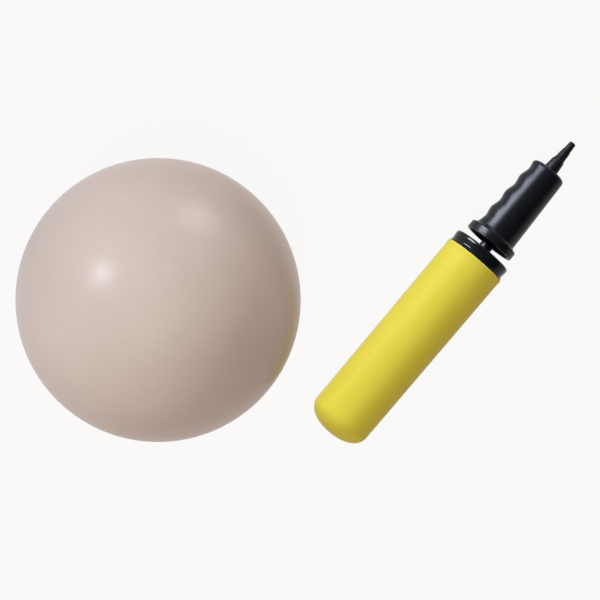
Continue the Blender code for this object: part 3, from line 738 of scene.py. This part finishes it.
def valve_grommet(material):
    """The moulded bush in the skin that the plug seals."""
    body = VALVE_HOLE_RADIUS - SEAT_GAP
    face = face_height()
    foot = face - GROMMET_LENGTH
    flange_top = math.sqrt((BALL_RADIUS - BALL_WALL) ** 2 - GROMMET_FLANGE_RADIUS**2) - SEAT_GAP
    flange_foot = flange_top - GROMMET_FLANGE_THICKNESS
    seat = face - PLUG_HEAD_THICKNESS - SEAT_GAP
    seat_radius = PLUG_HEAD_RADIUS + SEAT_GAP
    profile = rounded([
        (PLUG_BORE_RADIUS, foot, EASED_EDGE),
        (body, foot, WIDE_EDGE),
        (body, flange_foot, SOFT_EDGE),
        (GROMMET_FLANGE_RADIUS, flange_foot, SOFT_EDGE),
        (GROMMET_FLANGE_RADIUS, flange_top, FINE_EDGE),
        (body, flange_top, CRISP_EDGE),
        (body, face, GROMMET_LIP_ROUND),
        (seat_radius, face, FINE_EDGE),
        (seat_radius, seat, FINE_EDGE),
        (PLUG_BORE_RADIUS, seat, FINE_EDGE),
    ])
    made = mesh_object("ball_valve_grommet", spun(profile, SMALL_FACETS))
    return settle(made, BALL, material, "valve_grommet", "set")


def valve_plug(material):
    """The stopper with its crowned head and ribbed stem."""
    face = face_height()
    under_head = face - PLUG_HEAD_THICKNESS
    stem_end = under_head - PLUG_STEM_LENGTH
    dimple = face - PLUG_DIMPLE_DEPTH
    pitch = PLUG_STEM_LENGTH / (PLUG_RIB_COUNT + 1)
    corners = [(0.0, stem_end), (PLUG_TIP_RADIUS, stem_end, EASED_EDGE)]
    for i in range(1, PLUG_RIB_COUNT + 1):
        rib = stem_end + pitch * i
        corners += [
            (PLUG_STEM_RADIUS, rib - pitch / 3, FULL_EDGE),
            (PLUG_STEM_RADIUS + PLUG_RIB_HEIGHT, rib, SOFT_EDGE),
            (PLUG_STEM_RADIUS, rib + pitch / 3, FULL_EDGE),
        ]
    corners += [
        (PLUG_STEM_RADIUS, under_head, CRISP_EDGE),
        (PLUG_HEAD_RADIUS, under_head, FINE_EDGE),
        (PLUG_HEAD_RADIUS, face - PLUG_CROWN_RISE, PLUG_HEAD_ROUND),
        (PLUG_CROWN_RADIUS, face, BROAD_EDGE),
        (PLUG_DIMPLE_RADIUS, dimple, FULL_EDGE),
        (0.0, dimple),
    ]
    made = mesh_object("ball_valve_plug", spun(rounded(corners, SMALL_ROUND_STEPS), SMALL_FACETS))
    return settle(made, BALL, material, "valve_plug", "plug")


def dome(radius, depth, foot, steps):
    """A squared-off half ellipse from the axis at foot out to the full radius, depth higher."""
    power = 2 / DOME_FULLNESS
    curve = []
    for turn in evenly(0.0, math.pi / 2, steps)[:-1]:
        curve.append((radius * math.sin(turn) ** power, foot + depth * (1 - math.cos(turn) ** power)))
    return curve + [(radius, foot + depth)]


def barrel(material):
    """The domed tube with its soft lip. A shallow moulding gate sits in the middle of the dome."""
    outside = dome(BARREL_FOOT_RADIUS, DOME_DEPTH, 0.0, DOME_STEPS)
    for i, (r, z) in enumerate(outside):
        outside[i] = (r, z + GATE_DEPTH * max(0.0, 1 - (r / GATE_RADIUS) ** 2) ** 2)
    lip_foot = BARREL_LENGTH - LIP_HEIGHT
    mouth_foot = BARREL_LENGTH - MOUTH_DEPTH
    for i in range(1, BARREL_ROWS):
        share = i / BARREL_ROWS
        radius = BARREL_FOOT_RADIUS + (BARREL_TOP_RADIUS - BARREL_FOOT_RADIUS) * share
        outside.append((radius, DOME_DEPTH + (lip_foot - LIP_RUN_OUT - DOME_DEPTH) * share))
    lip = rounded([
        outside[-1],
        (BARREL_TOP_RADIUS, lip_foot - LIP_FOOT_DROP, LIP_RUN_OUT_ROUND),
        (LIP_RADIUS, lip_foot + LIP_HEIGHT / 2, LIP_RUN_OUT_ROUND),
        (LIP_RADIUS, BARREL_LENGTH, LIP_ROUND),
        (MOUTH_RADIUS, BARREL_LENGTH, FINE_EDGE),
        (MOUTH_RADIUS, mouth_foot),
    ])
    inside = dome(BARREL_BORE_RADIUS, DOME_DEPTH - BARREL_FLOOR, BARREL_FLOOR, INNER_DOME_STEPS)
    inside.append((BARREL_BORE_RADIUS, mouth_foot))
    made = mesh_object("pump_barrel", spun(outside + lip[1:] + inside[::-1], BODY_FACETS))
    return settle(made, PUMP, material, "barrel", "set")


def barrel_cap(material, tree):
    """The cap in the barrel's mouth: flared foot, rolled rim, dished top with vents, and the bush's boss."""
    skirt = MOUTH_RADIUS - SEAT_GAP
    seat = BARREL_LENGTH + SEAT_GAP
    dish = CAP_TOP - CAP_DISH_DEPTH
    boss = dish + CAP_BOSS_RISE
    web = dish - CAP_WEB
    counterbore = BUSH_FLANGE_RADIUS + SEAT_GAP
    ledge = boss - BUSH_FLANGE_THICKNESS - SEAT_GAP
    boss_radius = counterbore + CAP_TUBE_WALL / 2
    rim_inside = CAP_RIM_RADIUS - CAP_RIM_WIDTH
    tube = CAP_TUBE_RADIUS + CAP_TUBE_WALL
    tube_foot = BARREL_LENGTH - CAP_TUBE_DEPTH
    skirt_foot = BARREL_LENGTH - CAP_SKIRT_DEPTH
    profile = rounded([
        (skirt, skirt_foot, FINE_EDGE),
        (skirt, seat, CRISP_EDGE),
        (CAP_BASE_RADIUS + CAP_FOOT_FLARE, seat, CAP_FOOT_ROUND),
        (CAP_BASE_RADIUS - CAP_WAIST, seat + CAP_WAIST_HEIGHT, CAP_WAIST_ROUND),
        (CAP_RIM_RADIUS, CAP_TOP - CAP_RIM_HEIGHT, CAP_RIM_FOOT_ROUND),
        (CAP_RIM_RADIUS, CAP_TOP, CAP_RIM_ROUND),
        (rim_inside, CAP_TOP, SOFT_EDGE),
        (rim_inside - CAP_DISH_SLOPE, dish, WIDE_EDGE),
        (boss_radius + CAP_BOSS_RISE, dish, FULL_EDGE),
        (boss_radius, boss, FINE_EDGE),
        (counterbore, boss, CRISP_EDGE),
        (counterbore, ledge, SHARP_EDGE),
        (CAP_TUBE_RADIUS, ledge, SHARP_EDGE),
        (CAP_TUBE_RADIUS, tube_foot, CRISP_EDGE),
        (tube, tube_foot, FINE_EDGE),
        (tube, web, SOFT_EDGE),
        (skirt - CAP_SKIRT_WALL, web, SOFT_EDGE),
        (skirt - CAP_SKIRT_WALL, skirt_foot, FINE_EDGE),
    ])
    made = mesh_object("pump_cap", spun(profile, BODY_FACETS))
    circle = (boss_radius + CAP_BOSS_RISE + rim_inside - CAP_RIM_ROUND) / 2
    sizes = {"Radius": VENT_RADIUS, "Circle": circle, "Height": dish, "Depth": VENT_DRILL_LENGTH}
    grown(made, tree, {"Count": VENT_COUNT, "Material": material, **in_metres(sizes)})
    return settle(made, PUMP, material, "barrel_cap", "set")


def guide_bush(material):
    """The rod's bush, with its flange on the cap and its snap lip below."""
    boss = CAP_TOP - CAP_DISH_DEPTH + CAP_BOSS_RISE
    under_flange = boss - BUSH_FLANGE_THICKNESS
    lip = BARREL_LENGTH - CAP_TUBE_DEPTH - SEAT_GAP
    lip_radius = BUSH_RADIUS + BUSH_LIP_WIDTH
    foot = lip - BUSH_LIP_HEIGHT
    profile = rounded([
        (BUSH_BORE_RADIUS, foot, FINE_EDGE),
        (BUSH_RADIUS - BUSH_LIP_WIDTH / 2, foot, FINE_EDGE),
        (lip_radius, lip - BUSH_LIP_HEIGHT / 3, CRISP_EDGE),
        (lip_radius, lip, BUSH_LIP_ROUND),
        (BUSH_RADIUS, lip, SHARP_EDGE),
        (BUSH_RADIUS, under_flange, CRISP_EDGE),
        (BUSH_FLANGE_RADIUS, under_flange, CRISP_EDGE),
        (BUSH_FLANGE_RADIUS, boss, EASED_EDGE),
        (BUSH_BORE_RADIUS, boss, SOFT_EDGE),
    ])
    made = mesh_object("pump_guide_bush", spun(profile, SMALL_FACETS))
    return settle(made, PUMP, material, "guide_bush", "guide")


def piston_rod(material):
    """The hollow rod."""
    top = SOCKET_TOP - SEAT_GAP
    profile = rounded([
        (ROD_BORE_RADIUS, ROD_FOOT, EASED_EDGE),
        (ROD_RADIUS, ROD_FOOT, SOFT_EDGE),
        (ROD_RADIUS, top, SOFT_EDGE),
        (ROD_BORE_RADIUS, top, EASED_EDGE),
    ])
    made = mesh_object("pump_rod", spun(profile, SMALL_FACETS))
    return settle(made, PUMP, material, "piston_rod", "plunger")


def grip_radius(height):
    """The plain grip's radius, this far above the handle's foot."""
    share = (height - FLANGE_HEIGHT) / (HANDLE_LENGTH - FLANGE_HEIGHT)
    return GRIP_BASE_RADIUS + (GRIP_TOP_RADIUS - GRIP_BASE_RADIUS) * share


def handle_profile():
    """The handle's closed profile above its foot: flange, neck, grip, crowned top, spigot and hollow."""
    ceiling = HANDLE_LENGTH - HANDLE_TOP_WALL
    socket_foot = ceiling - SOCKET_DEPTH
    socket = SOCKET_RADIUS + SOCKET_WALL
    crown = HANDLE_LENGTH - HANDLE_TOP_CROWN
    spigot_top = HANDLE_LENGTH + SPIGOT_LENGTH
    inner_shoulder = FLANGE_HEIGHT - HANDLE_WALL
    throat = grip_radius(FLANGE_HEIGHT) - HANDLE_WALL
    skirt = FLANGE_RADIUS - HANDLE_WALL
    lower = rounded([
        (skirt, 0.0, EASED_EDGE),
        (FLANGE_RADIUS, 0.0, EASED_EDGE),
        (FLANGE_RADIUS, FLANGE_HEIGHT, FLANGE_ROUND),
        (grip_radius(FLANGE_HEIGHT), FLANGE_HEIGHT, NECK_FILLET),
        (grip_radius(FIRST_FINGER), FIRST_FINGER),
    ], HANDLE_ROUND_STEPS)
    heights = evenly(FIRST_FINGER, crown - HANDLE_TOP_ROUND, GRIP_ROWS)[1:-1]
    grip = [(grip_radius(height), height) for height in heights]
    upper = rounded([
        grip[-1],
        (grip_radius(crown), crown - CROWN_EDGE_DROP, HANDLE_TOP_ROUND),
        (SPIGOT_RADIUS + CROWN_FLAT_WIDTH, HANDLE_LENGTH, CROWN_ROUND),
        (SPIGOT_RADIUS, HANDLE_LENGTH, CRISP_EDGE),
        (SPIGOT_RADIUS, spigot_top, SOFT_EDGE),
        (AIR_PASSAGE_RADIUS, spigot_top),
        (AIR_PASSAGE_RADIUS, ceiling),
        (SOCKET_RADIUS, ceiling),
        (SOCKET_RADIUS, socket_foot, EASED_EDGE),
        (socket, socket_foot, SOFT_EDGE),
        (socket, ceiling, FULL_EDGE),
        (grip_radius(HANDLE_LENGTH) - HANDLE_WALL, ceiling, BROAD_EDGE),
        (throat, inner_shoulder, BROAD_EDGE),
        (skirt, inner_shoulder, BROAD_EDGE),
        lower[0],
    ], HANDLE_ROUND_STEPS)
    return lower + grip + upper[1:-1]


def handle_grip(material, tree):
    """The hollow handle with its finger ridges and the ribs round the rod's socket."""
    profile = [(r, HANDLE_FOOT + z) for r, z in handle_profile()]
    made = mesh_object("pump_handle", spun(profile, BODY_FACETS))
    socket_foot = SOCKET_TOP - SOCKET_DEPTH
    top_radius = grip_radius(HANDLE_LENGTH)
    sizes = {
        "Ridge": FINGER_RIDGE,
        "Sink": FINGER_SINK,
        "Pitch": FINGER_PITCH,
        "First groove": HANDLE_FOOT + FIRST_FINGER,
        "Top round": HANDLE_TOP_ROUND,
        "Top radius": top_radius,
        "Flange top": HANDLE_FOOT + FLANGE_HEIGHT + FINGER_START_GAP,
        "Rib inner": SOCKET_RADIUS + SOCKET_WALL / 2,
        "Rib outer": top_radius - HANDLE_WALL / 2,
        "Rib foot": socket_foot + RIB_SETBACK,
        "Rib top": SOCKET_TOP + HANDLE_TOP_WALL / 2,
        "Rib thickness": RIB_THICKNESS,
    }
    others = {"Reach": FINGER_REACH, "Rib count": RIB_COUNT, "Material": material}
    grown(made, tree, {**others, **in_metres(sizes)})
    return settle(made, PUMP, material, "handle_grip", "plunger")


def nozzle(material):
    """The stepped nozzle with its ring grooves."""
    foot = HANDLE_TOP + SEAT_GAP
    shoulder = foot + NOZZLE_SHOULDER_HEIGHT
    neck = shoulder + NOZZLE_SHOULDER_SLOPE
    neck_top = neck + NOZZLE_RING_PITCH * NOZZLE_RING_COUNT
    tip_foot = neck_top + NOZZLE_STEP_SLOPE
    tip = tip_foot + NOZZLE_TIP_LENGTH
    seal_room = SEAL_RADIUS + SEAT_GAP
    seal_top = foot + SEAL_THICKNESS + SEAT_GAP
    spigot_room = SPIGOT_RADIUS + SEAT_GAP
    spigot_top = HANDLE_TOP + SPIGOT_LENGTH + SEAT_GAP

    def taper(height):
        return NOZZLE_NECK_RADIUS - NOZZLE_NECK_TAPER * (height - neck) / (neck_top - neck)

    corners = [
        (seal_room, foot, SHARP_EDGE),
        (NOZZLE_BASE_RADIUS, foot, NOZZLE_FOOT_ROUND),
        (NOZZLE_SHOULDER_RADIUS, shoulder, NOZZLE_SHOULDER_ROUND),
        (NOZZLE_NECK_RADIUS, neck, NOZZLE_NECK_ROUND),
    ]
    half = NOZZLE_GROOVE_WIDTH / 2
    for i in range(NOZZLE_RING_COUNT):
        height = neck + NOZZLE_RING_PITCH * (i + 0.5)
        corners += [
            (taper(height - half), height - half, NOZZLE_GROOVE_EDGE),
            (taper(height) - NOZZLE_GROOVE_DEPTH, height, NOZZLE_GROOVE_ROUND),
            (taper(height + half), height + half, NOZZLE_GROOVE_EDGE),
        ]
    corners += [
        (taper(neck_top), neck_top, FULL_EDGE),
        (NOZZLE_TIP_FOOT_RADIUS, tip_foot, WIDE_EDGE),
        (NOZZLE_TIP_RADIUS, tip, NOZZLE_TIP_ROUND),
        (NOZZLE_BORE_RADIUS, tip, CRISP_EDGE),
        (NOZZLE_BORE_RADIUS, spigot_top, CRISP_EDGE),
        (spigot_room, spigot_top),
        (spigot_room, seal_top),
        (seal_room, seal_top),
    ]
    made = mesh_object("pump_nozzle", spun(rounded(corners, SMALL_ROUND_STEPS), SMALL_FACETS))
    return settle(made, PUMP, material, "nozzle", "plunger")


def outlet_spring(material, tree):
    """The coil between the outlet disc and the rod's end, wound at one fixed length."""
    made = mesh_object("pump_outlet_spring", bmesh.new())
    wire_radius = SPRING_WIRE / 2
    top = ROD_FOOT - SEAT_GAP
    foot = top - SPRING_LENGTH
    sizes = {"Radius": SPRING_RADIUS, "Height": SPRING_LENGTH - SPRING_WIRE, "Wire radius": wire_radius}
    grown(made, tree, {"Turns": SPRING_TURNS, "Material": material, **in_metres(sizes)})
    made.data.transform(PUMP @ Matrix.Translation((0, 0, (foot + wire_radius) * MM)))
    made.data.shade_smooth()
    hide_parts("outlet_spring")
    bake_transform(made)
    return made


def dress_inner_nodes():
    """Finishes for the small pieces that only show when the pump is taken apart."""
    rubber = plain_moulding("seal_rubber", tone(0.012, 0.012, 0.012), tone(0.020, 0.020, 0.020), 0.60)
    natural = plain_moulding("natural_plastic", tone(0.70, 0.70, 0.66), tone(0.80, 0.80, 0.76), 0.40)
    wire = plain_moulding("spring_wire", tone(0.50, 0.50, 0.52), tone(0.62, 0.62, 0.63), 0.22, metallic=1.0)
    dressed = {
        "piston": natural,
        "piston_ring": rubber,
        "buffer_ring": rubber,
        "outlet_disc": rubber,
        "nozzle_seal": rubber,
    }
    for name, material in dressed.items():
        paint(frame["nodes"][name].data, material)
    return [outlet_spring(wire, coil_tree())] + [frame["nodes"][name] for name in dressed]


def dress():
    """Makes every visible piece: those of the ball, the yellow barrel, and the rest of the pump."""
    vinyl = ball_vinyl()
    satin = black_plastic("black_grip_plastic", roughness=0.28, grain_strength=0.03, wear=0.4)
    fine = black_plastic("black_nozzle_plastic", roughness=0.42, grain_strength=0.02, wear=0.1)
    gloss = black_plastic("black_cap_plastic", roughness=0.13, grain_strength=0.02, wear=0.3)
    slick = black_plastic("black_rod_plastic", roughness=0.26, grain_strength=0.04, wear=0.5)
    nylon = plain_moulding("white_nylon", tone(0.80, 0.80, 0.77), tone(0.87, 0.87, 0.85), 0.34)
    ball_pieces = [ball_skin(vinyl), valve_grommet(vinyl), valve_plug(nylon)]
    yellow_barrel = barrel(barrel_yellow())
    dark_pieces = [
        barrel_cap(gloss, vent_tree()),
        guide_bush(slick),
        piston_rod(slick),
        handle_grip(satin, finger_tree()),
        nozzle(fine),
    ]
    return ball_pieces, yellow_barrel, dark_pieces + dress_inner_nodes()


def background_rays(nodes):
    """One for rays that see the backdrop itself or its mirror image, zero for rays that carry its light."""
    seen = nodes.node("ShaderNodeLightPath", output="Is Camera Ray")
    return seen.most(seen.beside("Is Glossy Ray")).most(seen.beside("Is Transmission Ray"))


def floor():
    """A wide white floor that keeps a soft shadow."""
    bpy.ops.mesh.primitive_plane_add(size=FLOOR_SIZE, location=(0, 0, 0))
    made = bpy.context.object
    made.name = "studio_floor"
    finish = Finish("white_floor")
    finish.set(base_color=FLOOR_COLOUR, roughness=FLOOR_ROUGHNESS, specular_ior_level=0.0)
    glow = finish.node("ShaderNodeEmission", {}, {"Color": WHITE, "Strength": 1.0})
    share = background_rays(finish) * FLOOR_WHITENING
    surface = Term(finish, finish.shader.outputs[0])
    both = finish.node("ShaderNodeMixShader", {}, {0: share, 1: surface, 2: glow})
    finish.feed(finish.tree.nodes["Material Output"].inputs["Surface"], both)
    made.data.materials.append(finish.material)


def surroundings():
    """White walls round the floor, with a darker ceiling, and an even light from all sides."""
    world = bpy.data.worlds.new("studio")
    bpy.context.scene.world = world
    world.use_nodes = True
    nodes = Nodes(world.node_tree)
    direction = nodes.node("ShaderNodeTexCoord", output="Generated")
    height = nodes.node("ShaderNodeSeparateXYZ", {}, {"Vector": direction}, output="Z")
    wall = nodes.ramp(height, *WALL_TOP, start=1.0, end=CEILING)
    seen = background_rays(nodes)
    background = world.node_tree.nodes["Background"]
    nodes.feed(background.inputs["Strength"], wall * seen + (1 - seen) * AMBIENT)
    nodes.feed(background.inputs["Color"], nodes.mix(seen, AMBIENT_COLOUR, WHITE))


def lamp(name, place, aim, size, power, colour):
    """A soft rectangular light aimed at a point, its second side along the pump."""
    data = bpy.data.lights.new(name, "AREA")
    data.shape = "RECTANGLE"
    data.size, data.size_y = size
    data.energy = power
    data.color = colour
    made = bpy.data.objects.new(name, data)
    bpy.context.scene.collection.objects.link(made)
    back = (place - aim).normalized()
    across = PUMP.col[2].to_3d().cross(back).normalized()
    turn = Matrix((across, back.cross(across), back)).transposed().to_4x4()
    made.matrix_world = Matrix.Translation(place) @ turn
    return made


def shine_only_on(light, pieces):
    """Keeps a light to these pieces, as when they are photographed by themselves."""
    chosen = bpy.data.collections.new(light.name + "_pieces")
    for piece in pieces:
        chosen.objects.link(piece)
    light.light_linking.receiver_collection = chosen
    light.light_linking.blocker_collection = chosen


def lights(ball_pieces, yellow_barrel, dark_pieces):
    """A side light for the ball, the barrel and the black pieces each, and two soft lights for all."""
    ball = BALL.translation
    handle = PUMP @ Vector((0, 0, (HANDLE_FOOT + HANDLE_LENGTH / 2) * MM))
    ball_side = (BALL_LIGHT_AT, ball, BALL_LIGHT_SIZE, BALL_LIGHT_POWER, SIDE_COLOUR)
    shine_only_on(lamp("ball_light", *ball_side), ball_pieces)
    barrel_side = (PUMP_LIGHT_AT, handle, BARREL_LIGHT_SIZE, BARREL_LIGHT_POWER, SIDE_COLOUR)
    shine_only_on(lamp("barrel_light", *barrel_side), [yellow_barrel])
    handle_side = (PUMP_LIGHT_AT, handle, HANDLE_LIGHT_SIZE, HANDLE_LIGHT_POWER, HANDLE_LIGHT_COLOUR)
    shine_only_on(lamp("handle_light", *handle_side), dark_pieces)
    front = lamp("front_light", FRONT_AT, ball, FRONT_SIZE, FRONT_POWER, FRONT_COLOUR)
    front.visible_glossy = False
    lamp("back_light", BACK_AT, ball, BACK_SIZE, BACK_POWER, BACK_COLOUR)


def camera():
    """Looks straight down, with the ball on the left."""
    data = bpy.data.cameras.new("camera")
    data.lens = CAMERA_LENS
    data.sensor_width = SENSOR_WIDTH
    made = bpy.data.objects.new("camera", data)
    bpy.context.scene.collection.objects.link(made)
    made.location = (CAMERA_X, 0.0, CAMERA_HEIGHT)
    bpy.context.scene.camera = made


bpy.context.scene.view_settings.view_transform = "Standard"
lights(*dress())
floor()
surroundings()
camera()
